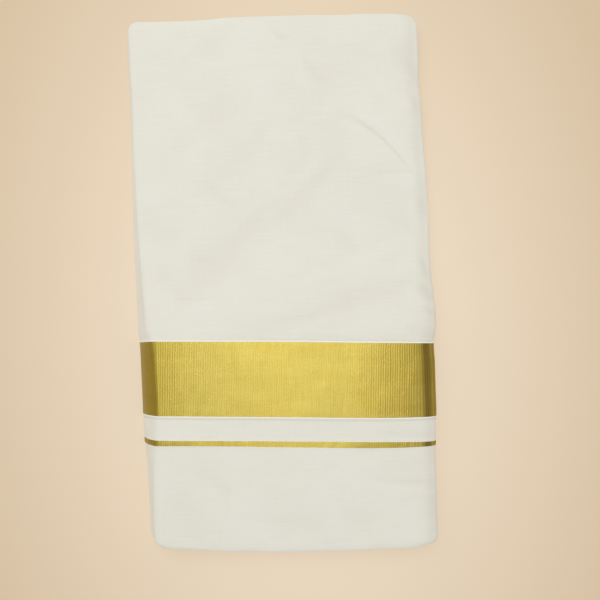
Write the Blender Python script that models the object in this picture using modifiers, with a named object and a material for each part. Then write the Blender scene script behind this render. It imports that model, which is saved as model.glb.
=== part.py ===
"""A dhoti folded flat into a packet: white cotton with a broad and a narrow gold border.

The cloth is folded in half along its length, both selvedges are turned up over the bottom fold, and
the strip is folded in half across four times, which gives sixteen layers. The packet lies on its
back: +X is to the right, +Y is up the packet, +Z is up, and the origin is under its middle.
"""
import math

import bmesh
import bpy
import numpy as np

MM = 0.001

# Driving sizes
TOP_FOLD = 231.0 * MM            # the fold at the head of the packet, on the middle line
BOTTOM_FOLD = -230.0 * MM        # the fold at its foot
BAND_WIDTH = 62.0 * MM
SELVEDGE_WIDTH = 1.4 * MM
GAP_WIDTH = 20.4 * MM
LINE_WIDTH = 5.4 * MM
FLAP_EDGE = -53.3 * MM           # the selvedge, where the turned-up flap ends
FLAP_THICKNESS = 26.0 * MM       # sixteen layers of four cloths
BODY_THICKNESS = 13.0 * MM       # sixteen layers of two cloths
FLAP_STEP = 0.8 * MM             # the flap's own two cloths
RAMP = 110.0 * MM                # how far above the flap the packet is still thinning
WALL = 1.2 * MM                  # the cloth wound round the outside
SEAM = 0.3 * MM                  # clearance between pieces

# The sides of the packet, which bow out a little: distance up it, left edge and right edge
SIDES = (
    # up, left, right
    (-230, -125.5, 123.5),
    (-150, -126.5, 125.8),
    (-100, -127.6, 127.4),
    (-20, -128.7, 128.0),
    (40, -129.2, 129.2),
    (120, -128.3, 128.6),
    (230, -127.4, 126.8),
)
CORNER_LENGTH = 9.0 * MM         # the rounding of the corners, along the packet
CORNER_INSET = 4.0 * MM          # and across it
END_ROUND = 7.0 * MM             # the faces fall away over this length towards both folds
END_DROP = 1.6 * MM
CORNER_ROWS = 5                  # rows of a zone that lie within a corner

# Slopes of the woven lines and of the end folds across the packet, from left to right
SELVEDGE_SLOPE = -0.050
TOP_SLOPE = -0.0175
BOTTOM_SLOPE = -0.030

# The left side: the cloth turns over a crease, down a slanting face and under the packet
CREASE = 13.5 * MM               # how far inside the left edge the crease lies
FRONT_LIP = 4.0 * MM             # the piece on the slanting face laps over the crease by this
BACK_LIP = 8.0 * MM
SPINE_X = -111.0 * MM             # left of this the woven lines run level, round and under the packet
SPINE_PATH = (
    # in from the left edge, as a share of the crease's distance; height, as a share of the thickness
    (1.00, 1.00),
    (0.43, 0.60),
    (0.10, 0.30),
    (0.00, 0.16),
    (0.08, 0.05),
    (0.27, 0.00),
)

# The right side: what shows there, from the surface it lies on upwards
SPLIT = 30.0 * MM                # how far inside the right edge these pieces start
FOLD_X = 110.0 * MM              # right of this they run level round the big fold
SIDE_STACK = (
    # name, bottom and top as shares of the thickness, how far inside the right edge it ends
    ("underfold", 0.00, 0.26, 3.0),
    ("inner_fold", 0.26, 0.39, 6.0),
    ("cut_end_lower", 0.39, 0.49, 10.0),
    ("cut_end_upper", 0.49, 0.59, 8.0),
    ("fold", 0.59, 1.00, 0.0),
)
FOLD_SHOULDER = 18.0 * MM        # the big fold starts to round over this far inside its edge
HIDDEN_LAYERS = 14
RIDGE = 1.3 * MM                 # depth of the grooves between the folds at the packet's ends
LAYER_SLIP = 0.5 * MM            # how unevenly those folds lie
HIDDEN_SETBACK = 1.0 * MM        # the hidden folds lie this far inside the outer one
HIDDEN_CLEARANCE = 1.8 * MM      # and this far short of the pieces on the right
SLANT_WALL = 2.5                 # the wall's height over its thickness on the slanting left face


def y_of_line(line, x):
    """Height up the packet of a woven line or end fold, at x."""
    start, slope = line
    return start + slope * x


def woven_lines():
    """The lines between the zones, from the foot of the packet to its head."""
    band_top = FLAP_EDGE - SELVEDGE_WIDTH
    band_foot = band_top - BAND_WIDTH
    line_top = band_foot - GAP_WIDTH
    line_foot = line_top - LINE_WIDTH
    lines = [(BOTTOM_FOLD, BOTTOM_SLOPE)]
    lines += [(y, SELVEDGE_SLOPE) for y in (line_foot, line_top, band_foot, band_top, FLAP_EDGE)]
    lines.append((TOP_FOLD, TOP_SLOPE))
    return lines


LINES = woven_lines()
# Each zone lies between two neighbouring lines: name, material, number of rows along it
ZONES = (
    ("foot", "ground_cotton", 7),
    ("zari_line", "gold_zari", 2),
    ("gap", "ground_cotton", 3),
    ("zari_band", "gold_zari", 4),
    ("selvedge", "selvedge_cotton", 2),
    ("body", "ground_cotton", 14),
)
FINISHES = {
    # colour, roughness, metallic
    "ground_cotton": ((0.78, 0.76, 0.66), 0.85, 0.0),
    "selvedge_cotton": ((0.82, 0.80, 0.72), 0.80, 0.0),
    "gold_zari": ((0.60, 0.44, 0.10), 0.42, 0.6),
    "folded_cotton": ((0.74, 0.72, 0.63), 0.88, 0.0),
}


def end_distance(x, y):
    """Distance from a point to the nearer end fold."""
    return max(0.0, min(y_of_line(LINES[-1], x) - y, y - y_of_line(LINES[0], x)))


def rounding(distance, reach):
    """0 at reach from an edge and further in, rising to 1 on it along a parabola."""
    return max(0.0, 1.0 - distance / reach) ** 2


def side(y, column):
    """The left (1) or right (2) edge of the packet, drawn in at the corners."""
    heights = [row[0] * MM for row in SIDES]
    edge = float(np.interp(y, heights, [row[column] * MM for row in SIDES]))
    inset = CORNER_INSET * rounding(end_distance(edge, y), CORNER_LENGTH)
    return edge - math.copysign(inset, edge)


def thickness(x, y):
    """Height of the packet's upper face."""
    above_flap = y - y_of_line((FLAP_EDGE, SELVEDGE_SLOPE), max(x, SPINE_X))
    drop = END_DROP * rounding(end_distance(x, y), END_ROUND)
    if above_flap <= 0.0:
        return FLAP_THICKNESS - drop
    share = min(1.0, above_flap / RAMP)
    ease = share * share * (3.0 - 2.0 * share)
    top = FLAP_THICKNESS - FLAP_STEP
    return top - (top - BODY_THICKNESS) * ease - drop


def spine_height(x, y):
    """Height of the outside of the slanting left face, over x."""
    inward = [row[0] * CREASE for row in SPINE_PATH[3::-1]]
    heights = [row[1] for row in SPINE_PATH[3::-1]]
    return thickness(x, y) * float(np.interp(x - side(y, 1), inward, heights))


def rows(zone, x, woven_x):
    """Heights up the packet of a zone's rows, closer together beside an end fold.

    End folds are taken at x, and woven lines at woven_x, because those run level round the sides.
    """
    low = y_of_line(LINES[zone], x if zone == 0 else woven_x)
    high = y_of_line(LINES[zone + 1], x if zone == len(ZONES) - 1 else woven_x)
    if zone > 0:
        low += SEAM / 2
    if zone < len(ZONES) - 1:
        high -= SEAM / 2
    steps = np.linspace(0.0, 1.0, ZONES[zone][2])
    if zone in (0, len(ZONES) - 1):
        corner = np.array([0.0, 0.02, 0.12, 0.35, 0.65, 1.0]) * CORNER_LENGTH / (high - low)
        rest = np.linspace(corner[-1], 1.0, ZONES[zone][2])[1:]
        steps = np.concatenate([corner, rest])
        if zone > 0:
            steps = 1.0 - steps[::-1]
    return low + (high - low) * steps


def all_rows(x, woven_x):
    """The rows of every zone, from the foot of the packet to its head."""
    heights = []
    for zone in range(len(ZONES)):
        heights += list(rows(zone, x, woven_x))
    return heights


def finish(name):
    """One Principled material for each finish."""
    if name in bpy.data.materials:
        return bpy.data.materials[name]
    colour, roughness, metallic = FINISHES[name]
    material = bpy.data.materials.new(name)
    material.use_nodes = True
    shader = material.node_tree.nodes["Principled BSDF"]
    shader.inputs["Base Color"].default_value = (*colour, 1.0)
    shader.inputs["Roughness"].default_value = roughness
    shader.inputs["Metallic"].default_value = metallic
    material.diffuse_color = (*colour, 1.0)
    return material


def new_object(name, mesh, material):
    obj = bpy.data.objects.new(name, mesh)
    mesh.materials.append(finish(material))
    packet.objects.link(obj)
    return obj


def cloth_wall(name, grid, material):
    """An open sheet through rows of points, made a wall that is WALL thick inwards."""
    bm = bmesh.new()
    verts = [[bm.verts.new(point) for point in row] for row in grid]
    for lower, upper in zip(verts, verts[1:]):
        for i in range(len(lower) - 1):
            bm.faces.new((lower[i], lower[i + 1], upper[i + 1], upper[i]))
    mesh = bpy.data.meshes.new(name)
    bm.to_mesh(mesh)
    bm.free()
    obj = new_object(name, mesh, material)
    shell = obj.modifiers.new("cloth", "SOLIDIFY")
    shell.thickness = WALL
    shell.offset = -1.0
    shell.use_even_offset = True
    return obj


def lofted(name, rings, material):
    """A closed solid through rings of points, capped at both ends."""
    bm = bmesh.new()
    verts = [[bm.verts.new(point) for point in ring] for ring in rings]
    count = len(rings[0])
    for lower, upper in zip(verts, verts[1:]):
        for i in range(count):
            j = (i + 1) % count
            bm.faces.new((lower[i], lower[j], upper[j], upper[i]))
    bm.faces.new(verts[0])
    bm.faces.new(verts[-1])
    bmesh.ops.recalc_face_normals(bm, faces=bm.faces)
    mesh = bpy.data.meshes.new(name)
    bm.to_mesh(mesh)
    bm.free()
    return new_object(name, mesh, material)


def front_piece(zone):
    """The zone's stretch on the packet's upper face."""
    name, material, _ = ZONES[zone]
    columns = 9
    grid = []
    for row in range(len(rows(zone, 0.0, 0.0))):
        points = []
        for column in range(columns):
            share = column / (columns - 1)
            x = 0.0
            for _ in range(3):      # the sides depend on y, and y on x
                y = rows(zone, x, x)[row]
                left = side(y, 1) + CREASE + FRONT_LIP + SEAM
                right = side(y, 2) - SPLIT
                x = left + (right - left) * share
            points.append((x, y, thickness(x, y)))
        grid.append(points)
    return cloth_wall(name + "_front", grid, material)


def spine_piece(zone):
    """The stretch that turns over the crease and down the left side."""
    name, material, _ = ZONES[zone]
    path = [(BACK_LIP, 0.0)]
    path += [(inward * CREASE, height) for inward, height in reversed(SPINE_PATH)]
    path.append((CREASE + FRONT_LIP, 1.0))
    grid = []
    for row in range(len(rows(zone, 0.0, 0.0))):
        points = []
        for inward, height in path:
            y = rows(zone, side(0.0, 1) + inward, SPINE_X)[row]
            x = side(y, 1) + inward
            points.append((x, y, thickness(x, y) * height))
        grid.append(points)
    return cloth_wall(name + "_spine", grid, material)


def back_piece(zone):
    """The stretch that the packet lies on, flat on the surface."""
    name, material, _ = ZONES[zone]
    columns = 4
    grid = []
    for row in range(len(rows(zone, 0.0, 0.0))):
        points = []
        for share in np.linspace(1.0, 0.0, columns):
            left = side(0.0, 1) + BACK_LIP + SEAM
            right = side(0.0, 2) - SPLIT
            y = rows(zone, left + (right - left) * share, SPINE_X)[row]
            left = side(y, 1) + BACK_LIP + SEAM
            right = side(y, 2) - SPLIT
            points.append((left + (right - left) * share, y, 0.0))
        grid.append(points)
    return cloth_wall(name + "_back", grid, material)


def side_ring(y, place):
    """One section of a folded or cut edge on the right side."""
    _, low_share, high_share, inside = SIDE_STACK[place]
    edge = side(y, 2) - inside * MM
    start = side(y, 2) - SPLIT + SEAM
    top = thickness(FOLD_X, y)
    low = top * low_share + (SEAM if place else 0.0)
    high = top * high_share
    upper = place == len(SIDE_STACK) - 1
    shoulder = FOLD_SHOULDER if upper else (high - low) * 0.5
    toe = (high - low) * (0.6 if upper else 0.5)
    nose = low + (high - low) * (0.3 if upper else 0.45)
    ring = [(start, y, low), (edge - toe, y, low)]
    steps = 3 if upper else 2
    for i in range(1, steps + 1):
        angle = math.radians(90.0 * i / steps)
        ring.append((edge - toe + toe * math.sin(angle), y, nose - (nose - low) * math.cos(angle)))
    steps = 5 if upper else 2
    for i in range(1, steps + 1):
        angle = math.radians(90.0 * i / steps)
        ring.append((edge - shoulder * (1.0 - math.cos(angle)), y, nose + (high - nose) * math.sin(angle)))
    ring.append((start, y, high))
    return ring


def zone_of_side(zone, place):
    """Rings along a zone. The woven lines reach the big fold at a slope, and the others level."""
    upper = place == len(SIDE_STACK) - 1
    return [side_ring(y, place) for y in rows(zone, FOLD_X, FOLD_X if upper else SPINE_X)]


def side_piece(zone, place):
    name, material, _ = ZONES[zone]
    return lofted(name + "_" + SIDE_STACK[place][0], zone_of_side(zone, place), material)


def inner_edge(place):
    """An edge that shows only between the two big folds: one piece, all along the packet."""
    rings = [side_ring(y, place) for y in all_rows(FOLD_X, 0.0)]
    return lofted(SIDE_STACK[place][0], rings, "folded_cotton")


def ridges(outward):
    """The rounded folds of the hidden layers at one end: push along the packet, share of the height."""
    points = []
    for layer in range(HIDDEN_LAYERS):
        slip = LAYER_SLIP * math.sin(2.4 * layer)
        for share, push in ((0.0, 0.0), (0.25, 0.75), (0.5, 1.0), (0.75, 0.75)):
            points.append((outward * (RIDGE + slip) * push, (layer + share) / HIDDEN_LAYERS))
    return points


def hidden_section(inward, share):
    """One section along the packet through all the hidden layers.

    It stands inward of the left edge, and share of the way from there to the pieces on the right.
    """
    def across(y):
        left = side(y, 1) + inward
        return left + (side(y, 2) - SPLIT - HIDDEN_CLEARANCE - left) * share

    def lid(y):
        x = across(y)
        top = thickness(x, y) - WALL - SEAM
        slant = spine_height(x, y) - WALL * SLANT_WALL - SEAM
        return min(top, slant) if x < side(y, 1) + CREASE + FRONT_LIP else top

    floor = WALL + SEAM
    heights = all_rows(across(0.0), max(across(0.0), SPINE_X))
    foot = heights[0] + RIDGE + HIDDEN_SETBACK
    head = heights[-1] - RIDGE - HIDDEN_SETBACK
    ring = []
    # up the foot's folds, along under the front, and down the head's folds
    for push, height in ridges(-1.0):
        y = foot + push
        ring.append((across(y), y, floor + (lid(y) - floor) * height))
    ring += [(across(y), y, lid(y)) for y in heights[CORNER_ROWS:-CORNER_ROWS]]
    for push, height in reversed(ridges(1.0)):
        y = head + push
        ring.append((across(y), y, floor + (lid(y) - floor) * height))
    return ring


def hidden_layers():
    """Everything folded inside, as one solid, ridged where its folds show at both ends."""
    places = [(inward * MM, 0.0) for inward in (6.5, 9.5, 13.0, 17.5)]
    places += [(17.5 * MM, share) for share in np.linspace(0.0, 1.0, 6)[1:]]
    return lofted("hidden_layers", [hidden_section(*place) for place in places], "folded_cotton")


def centre_on_origin(parts):
    """Put the middle of the packet's outline over the origin."""
    bpy.context.view_layer.update()
    corners = []
    for obj in parts:
        corners += [vert.co for vert in obj.data.vertices]
    middle_x = (min(c.x for c in corners) + max(c.x for c in corners)) / 2
    middle_y = (min(c.y for c in corners) + max(c.y for c in corners)) / 2
    for obj in parts:
        for vert in obj.data.vertices:
            vert.co.x -= middle_x
            vert.co.y -= middle_y


for old in list(bpy.data.objects):
    bpy.data.objects.remove(old, do_unlink=True)

packet = bpy.data.collections.new("folded_dhoti")
bpy.context.scene.collection.children.link(packet)

pieces = []
for zone_index in range(len(ZONES)):
    pieces.append(front_piece(zone_index))
    pieces.append(spine_piece(zone_index))
    pieces.append(back_piece(zone_index))
    pieces.append(side_piece(zone_index, len(SIDE_STACK) - 1))
    pieces.append(side_piece(zone_index, 0))
for place_index in range(1, len(SIDE_STACK) - 1):
    pieces.append(inner_edge(place_index))
pieces.append(hidden_layers())
centre_on_origin(pieces)
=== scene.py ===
"""A white cotton dhoti with a gold zari border, folded into a flat packet on a pale surface.

The cloth is one strip, folded back and forth into sixteen layers. Its section across the packet is a
chain of straight runs and folds, so every piece is made from the same few functions: the places where
the strip turns, the height of the pile, and the woven lines that part white ground from gold.
Everything is in metres. +X is to the right, +Y up the packet from its foot to its head, +Z up.
"""
import math

import bpy
import numpy as np
from mathutils import Matrix, Vector


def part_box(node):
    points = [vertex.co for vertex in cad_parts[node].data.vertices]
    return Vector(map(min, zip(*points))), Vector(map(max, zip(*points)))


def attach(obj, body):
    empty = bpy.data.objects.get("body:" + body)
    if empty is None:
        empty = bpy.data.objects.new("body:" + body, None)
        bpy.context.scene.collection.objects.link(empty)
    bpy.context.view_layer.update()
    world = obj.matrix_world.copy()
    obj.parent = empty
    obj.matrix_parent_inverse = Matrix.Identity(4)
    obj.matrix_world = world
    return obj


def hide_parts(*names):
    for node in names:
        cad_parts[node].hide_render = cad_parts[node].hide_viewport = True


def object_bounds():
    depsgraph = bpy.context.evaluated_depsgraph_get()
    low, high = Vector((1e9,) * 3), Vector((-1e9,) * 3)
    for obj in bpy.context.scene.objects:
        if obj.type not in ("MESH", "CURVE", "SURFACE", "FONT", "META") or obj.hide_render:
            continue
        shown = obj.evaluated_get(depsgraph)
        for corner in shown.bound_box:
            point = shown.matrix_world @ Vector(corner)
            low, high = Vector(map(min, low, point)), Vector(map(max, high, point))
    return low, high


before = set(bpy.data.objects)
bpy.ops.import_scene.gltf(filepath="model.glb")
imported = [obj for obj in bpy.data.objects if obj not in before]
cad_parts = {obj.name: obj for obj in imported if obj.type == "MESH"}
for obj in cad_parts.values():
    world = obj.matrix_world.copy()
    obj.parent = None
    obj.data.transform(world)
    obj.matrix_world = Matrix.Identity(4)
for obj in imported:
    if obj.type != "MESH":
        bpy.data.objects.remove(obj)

MM = 0.001
CAD_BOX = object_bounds()

# -------------------- places taken from the frame
LEFT = CAD_BOX[0].x
RIGHT = CAD_BOX[1].x
ZONES = ("foot", "zari_line", "gap", "zari_band", "selvedge", "body")
STRETCHES = ("front", "spine", "back", "fold", "underfold")
LAYERS = 16


def woven_levels(stretch):
    """Heights up the packet of the five woven lines on one stretch."""
    levels = []
    for lower, upper in zip(ZONES, ZONES[1:]):
        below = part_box(f"{lower}_{stretch}")[1].y
        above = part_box(f"{upper}_{stretch}")[0].y
        levels.append((below + above) / 2)
    return levels


SPINE_LEVELS = woven_levels("spine")
FOLD_LEVELS = woven_levels("fold")
REFERENCE_UP = (SPINE_LEVELS[2] + SPINE_LEVELS[3]) / 2    # runs along the strip are measured here
SPINE_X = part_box("zari_band_spine")[1].x      # the woven lines slope between these two places
FOLD_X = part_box("zari_band_fold")[0].x + 11.0 * MM
FOOT_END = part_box("foot_fold")[0].y           # the two end folds, where they cross FOLD_X
HEAD_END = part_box("body_fold")[1].y
FOOT_SLOPE = -0.030
HEAD_SLOPE = -0.0175
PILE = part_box("zari_band_front")[1].z         # height of the packet where the flap lies on it
BODY_PILE = PILE / 2                          # above the flap each layer has half the cloths
FLAP = 0.8 * MM                               # the flap's own two cloths
RAMP = 110.0 * MM                             # the pile thins over this length above the flap

# -------------------- shape of the packet
# The sides bow: how far each is inside the packet's box, at points up the packet
SIDE_BOW = (
    # up, left side, right side, how far the crease is inside the left side, its softness (mm)
    (-234, 2.8, 5.0, 15.6, 5.0),
    (-190, 2.7, 3.9, 15.6, 4.6),
    (-157, 2.3, 3.0, 16.4, 3.2),
    (-140, 1.4, 2.2, 17.6, 2.2),
    (-118, 0.6, 1.2, 19.4, 1.8),
    (-100, 0.7, 1.1, 20.0, 1.7),
    (-75, 0.6, 0.8, 19.6, 2.0),
    (-58, 0.6, 0.7, 19.3, 2.2),
    (-50, 0.4, -1.2, 18.8, 2.8),
    (-41, -0.8, -2.1, 18.4, 3.4),
    (-20, -0.8, -1.5, 17.4, 4.4),
    (10, -1.2, -0.7, 15.4, 4.8),
    (40, -1.2, -2.0, 13.4, 5.0),
    (85, -0.5, -1.9, 12.4, 5.0),
    (120, 0.2, -0.3, 11.4, 5.0),
    (150, 0.6, 0.1, 10.6, 4.8),
    (165, 0.7, 1.3, 10.2, 4.6),
    (200, 0.2, 1.1, 9.4, 4.4),
    (234, 0.3, 1.2, 9.2, 4.4),
)
# The end folds and the woven lines bow a little too, at points across the packet
END_BOW = (
    # across, foot, head (mm)
    (-129, 3.8, -2.0),
    (-113, 3.2, -1.9),
    (-98, 2.5, -1.8),
    (-84, 1.5, -1.6),
    (-62, 0.3, -1.3),
    (-31, 0.0, -0.7),
    (5, -0.6, 0.3),
    (38, -0.3, 0.1),
    (72, 0.6, -0.5),
    (105, 2.6, -0.9),
    (114, 4.0, -1.0),
    (122, 4.6, -1.1),
    (129, 5.0, -1.4),
)
WOVEN_BOW = (
    # across, then the five woven lines from the foot up (mm)
    (-129, 0.8, 0.1, 0.3, 0.9, 0.9),
    (-90, 1.0, 0.0, 0.1, 0.9, 0.9),
    (0, 0.6, 0.0, 0.0, 1.4, 1.4),
    (90, 0.6, 0.0, 0.1, 1.1, 1.1),
    (129, 2.1, 0.2, 1.2, 1.1, 1.1),
)
HEAD_CORNER = (7.2 * MM, 10.0 * MM)     # how far the corners round off, across and up
LEFT_FOOT_CORNER = (5.2 * MM, 8.0 * MM)
RIGHT_FOOT_CORNER = (3.0 * MM, 4.6 * MM)
HEAD_ROUND = 14.0 * MM        # the front falls away towards the end folds over these lengths
FOOT_ROUND = 6.0 * MM
END_DROP = 1.8 * MM

FLOOR_TURN = 9.0 * MM         # where the cloth meets the surface, inside the left side
SHOULDER = 20.0 * MM          # the right side rounds over from about here
TOE = 9.0 * MM                # and tucks in again below
LOW_TOE = 5.0 * MM
TUCK = 42.0 * MM              # the outer cloth is followed this far into the right side
MEET = 0.3 * MM               # and the next length of the same layer starts this far from it
SHEAR = math.atan((FOLD_LEVELS[3] - SPINE_LEVELS[3]) / (FOLD_X - SPINE_X))

# Creases: soft troughs (deep) and ridges (negative) between two points of the cloth. across is
# measured along the cloth from the middle of the front, rightwards, so that it goes on round the
# left side and under the packet as it falls below LEFT.
CREASES = (
    # across_1, up_1, across_2, up_2, width, depth (mm), and how the profile leans (-1 to 1)
    (65.0, 141.0, 112.0, 93.0, 2.0, 0.60, -0.5),
    (72.0, 147.0, 118.0, 100.0, 7.0, -0.45, -0.3),
    (84.0, 91.0, 122.0, 88.0, 2.4, 0.25, -0.3),
    (88.0, 83.0, 122.0, 80.5, 6.0, -0.30, 0.0),
    (4.0, 218.0, 15.0, 207.0, 5.0, 0.50, 0.2),
    (-14.0, 205.0, 4.0, 214.0, 9.0, -0.35, 0.0),
    (30.0, 190.0, 48.0, 168.0, 6.5, 0.60, 0.2),
    (18.0, 178.0, 40.0, 162.0, 8.0, -0.50, 0.0),
    (50.0, 40.0, 66.0, 20.0, 5.5, 0.50, 0.2),
    (60.0, 38.0, 78.0, 16.0, 9.0, -0.45, 0.0),
    (64.0, 134.0, 36.0, 84.0, 13.0, 0.80, 0.2),
    (-2.0, 140.0, -34.0, 100.0, 14.0, 0.70, 0.1),
    (36.0, 86.0, -90.0, -14.0, 22.0, 2.40, 0.2),
    (-92.0, -13.0, -50.0, -15.0, 2.4, 0.22, 0.0),
    (66.0, 132.0, -50.0, 8.0, 15.0, -0.90, 0.0),
    (118.0, -2.0, 30.0, -28.0, 13.0, 1.10, -0.3),
    (60.0, -22.0, -44.0, -46.0, 13.0, 1.00, -0.2),
    (104.0, 24.0, 4.0, -8.0, 14.0, -0.70, 0.0),
    (-24.0, 10.0, -86.0, -30.0, 12.0, -0.60, 0.0),
    (-104.0, 190.0, -60.0, 120.0, 20.0, -0.60, 0.0),
    (-96.0, 96.0, -40.0, 160.0, 15.0, 0.60, 0.0),
    (-112.0, 62.0, -84.0, 30.0, 12.0, 0.50, 0.2),
    (-104.0, 20.0, -74.0, -34.0, 13.0, 0.50, 0.0),
    (-70.0, 196.0, -34.0, 214.0, 10.0, 0.45, 0.2),
    (60.0, 204.0, 92.0, 190.0, 12.0, 0.45, 0.0),
    (86.0, 176.0, 116.0, 132.0, 13.0, -0.55, 0.0),
    (96.0, 58.0, 118.0, 30.0, 9.0, 0.55, -0.2),
    (-6.0, 134.0, 20.0, 110.0, 9.0, -0.45, 0.0),
    (-60.0, 84.0, -34.0, 62.0, 9.0, 0.45, 0.3),
    (118.0, 16.0, 130.0, -6.0, 5.0, 0.55, 0.2),
    (114.0, -10.0, 131.0, -24.0, 5.0, 0.80, 0.2),
    (118.0, -30.0, 132.0, -40.0, 4.6, 0.50, 0.0),
    (100.0, -46.0, 134.0, -54.0, 5.0, 0.50, 0.2),
    (120.0, 64.0, 134.0, 52.0, 6.0, 0.60, 0.0),
    (118.0, 156.0, 134.0, 140.0, 7.0, 0.55, 0.0),
    (108.0, 200.0, 132.0, 168.0, 9.0, 0.70, 0.0),
    (74.0, -173.0, 122.0, -177.0, 2.6, 0.36, 0.2),
    (84.0, -184.0, 128.0, -187.0, 8.0, -0.45, 0.0),
    (80.0, -134.0, 128.0, -139.0, 5.0, 0.35, 0.2),
    (-86.0, -158.0, -46.0, -182.0, 11.0, 0.60, 0.2),
    (-100.0, -170.0, -84.0, -214.0, 11.0, 0.50, 0.0),
    (-40.0, -200.0, 22.0, -210.0, 12.0, 0.45, 0.0),
    (-20.0, -168.0, 30.0, -186.0, 11.0, -0.50, 0.0),
    (44.0, -196.0, 70.0, -220.0, 9.0, 0.45, 0.2),
    # round the left side
    (-118.0, 150.0, -142.0, 138.0, 7.0, 0.45, 0.2),
    (-116.0, 66.0, -141.0, 60.0, 6.0, 0.40, 0.0),
    (-118.0, -8.0, -144.0, -16.0, 7.0, 0.45, -0.2),
    (-120.0, -182.0, -146.0, -190.0, 6.0, 0.35, 0.2),
)
# Slow swells and small crumples of the whole cloth: length (mm), direction (degrees), height (mm),
# phase, and how far each is bent by the one before it
SWELLS = (
    (210.0, 62.0, 0.50, 0.4, 0.0),
    (137.0, -38.0, 0.36, 2.1, 0.6),
    (88.0, 18.0, 0.18, 4.0, 0.8),
    (61.0, 97.0, 0.13, 1.3, 1.1),
    (43.0, -52.0, 0.12, 0.2, 1.3),
    (33.0, 31.0, 0.085, 2.9, 1.6),
    (24.0, -14.0, 0.055, 5.0, 1.8),
    (17.0, 74.0, 0.030, 3.3, 2.0),
)


def through(rows, column, at):
    """A smooth curve through a table: column against the rows' first column, in metres."""
    xs = np.array([row[0] for row in rows]) * MM
    ys = np.array([row[column] for row in rows]) * MM
    slopes = np.gradient(ys, xs)
    at = np.clip(at, xs[0], xs[-1])
    i = np.clip(np.searchsorted(xs, at) - 1, 0, len(xs) - 2)
    step = xs[i + 1] - xs[i]
    t = (at - xs[i]) / step
    curve = (2 * t**3 - 3 * t**2 + 1) * ys[i] + (t**3 - 2 * t**2 + t) * step * slopes[i]
    return curve + (3 * t**2 - 2 * t**3) * ys[i + 1] + (t**3 - t**2) * step * slopes[i + 1]


def ease(share):
    """0 below 0, 1 above 1, and a soft start and stop between."""
    share = np.clip(share, 0.0, 1.0)
    return share * share * (3.0 - 2.0 * share)


def foot_line(x):
    return FOOT_END + FOOT_SLOPE * (x - FOLD_X) + through(END_BOW, 1, x)


def head_line(x):
    return HEAD_END + HEAD_SLOPE * (x - FOLD_X) + through(END_BOW, 2, x)


def woven_line(place, x):
    """Height up the packet of woven line number place. It runs level round the left side."""
    slope = (FOLD_LEVELS[place] - SPINE_LEVELS[place]) / (FOLD_X - SPINE_X)
    straight = SPINE_LEVELS[place] + slope * (np.maximum(x, SPINE_X) - SPINE_X)
    return straight + through(WOVEN_BOW, place + 1, x)


def quarter_round(distance, reach):
    """0 further than reach, rising to 1 at no distance along a quarter circle."""
    inward = np.clip(distance / reach, 0.0, 1.0)
    return 1.0 - np.sqrt(1.0 - (1.0 - inward) ** 2)


def corner_inset(y, x, foot_corner):
    """How far a side is drawn in where it rounds off into the end folds."""
    head = HEAD_CORNER[0] * quarter_round(head_line(x) - y, HEAD_CORNER[1])
    return head + foot_corner[0] * quarter_round(y - foot_line(x), foot_corner[1])


def left_edge(y):
    return LEFT + through(SIDE_BOW, 1, y) + corner_inset(y, LEFT, LEFT_FOOT_CORNER)


def right_edge(y):
    return RIGHT - through(SIDE_BOW, 2, y) - corner_inset(y, RIGHT, RIGHT_FOOT_CORNER)


def pile_height(x, y, top, thins=True):
    """Height of the front, which is level on the flap, and thins above it."""
    drop = quarter_round(head_line(x) - y, HEAD_ROUND) + quarter_round(y - foot_line(x), FOOT_ROUND)
    drop = drop * END_DROP
    if not thins:
        return top - drop
    above = y - woven_line(4, x)
    return top - (top - BODY_PILE) * ease(above / RAMP) - drop


STIFF_BORDER = 0.62           # the border is stiffer than the ground, so it creases this much less
CREASE_DEPTH = 1.25 * MM
DEEPEST = 2.0 * MM            # no crease goes deeper than this
CREASE_SHADE = 0.95           # painted shade in the creases, most in the narrow ones
DARKEST = (-0.3, 0.8)         # painted highlight on a ridge (below 0), and painted shade in a trough, at most
CREASE_FADE = 0.25            # a crease fades out over this share of its length past each end
WIDE_CREASE = 9.0             # creases wider than this (mm) are shallower in proportion
BORDER_EASE = 16 * MM         # the border's stiffness sets in over this, on both sides of it


def creases(across, y):
    """How deep the creases are at a point of the strip, and their painted shade: darker in troughs,
    paler on ridges.
    """
    deep = np.zeros_like(y)
    dark = np.zeros_like(y)
    for across_1, up_1, across_2, up_2, width, depth, lean in CREASES:
        start = np.array([across_1, up_1]) * MM
        run = np.array([across_2, up_2]) * MM - start
        length = np.hypot(*run)
        along = ((across - start[0]) * run[0] + (y - start[1]) * run[1]) / length**2
        off = ((across - start[0]) * -run[1] + (y - start[1]) * run[0]) / length
        from_middle = np.abs(np.clip(along, -CREASE_FADE, 1.0 + CREASE_FADE) - 0.5)
        taper = ease(1.0 - from_middle / (0.5 + CREASE_FADE)) * 1.35
        narrow = width * MM * (0.75 + 0.35 * np.sin(3.0 * along + across_1))
        bend = off + 0.12 * length * np.sin(math.pi * along) * lean
        profile = np.exp(-((bend / narrow) ** 2)) * (1.0 + lean * np.tanh(bend / narrow))
        dip = depth * np.minimum(taper, 1.0) * profile
        deep += CREASE_DEPTH * dip * min(1.0, WIDE_CREASE / width)
        dark += CREASE_SHADE * dip / width**0.84
    return DEEPEST * np.tanh(deep / DEEPEST), np.clip(dark, *DARKEST)


def relief(across, y):
    """How far the cloth stands out of its plain form at a point of the strip."""
    height = -creases(across, y)[0]
    bend = 0.0
    for length, direction, size, phase, bent in SWELLS:
        turn = math.radians(direction)
        place = (across * math.cos(turn) + y * math.sin(turn)) / (length * MM)
        bend = np.sin(2 * math.pi * place + phase + bent * bend)
        height += size * MM * bend
    border = ease((y - woven_line(2, across) + 14 * MM) / BORDER_EASE)
    border *= ease((woven_line(4, across) + BORDER_EASE - y) / BORDER_EASE)
    return height * (1.0 - STIFF_BORDER * border)


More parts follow.
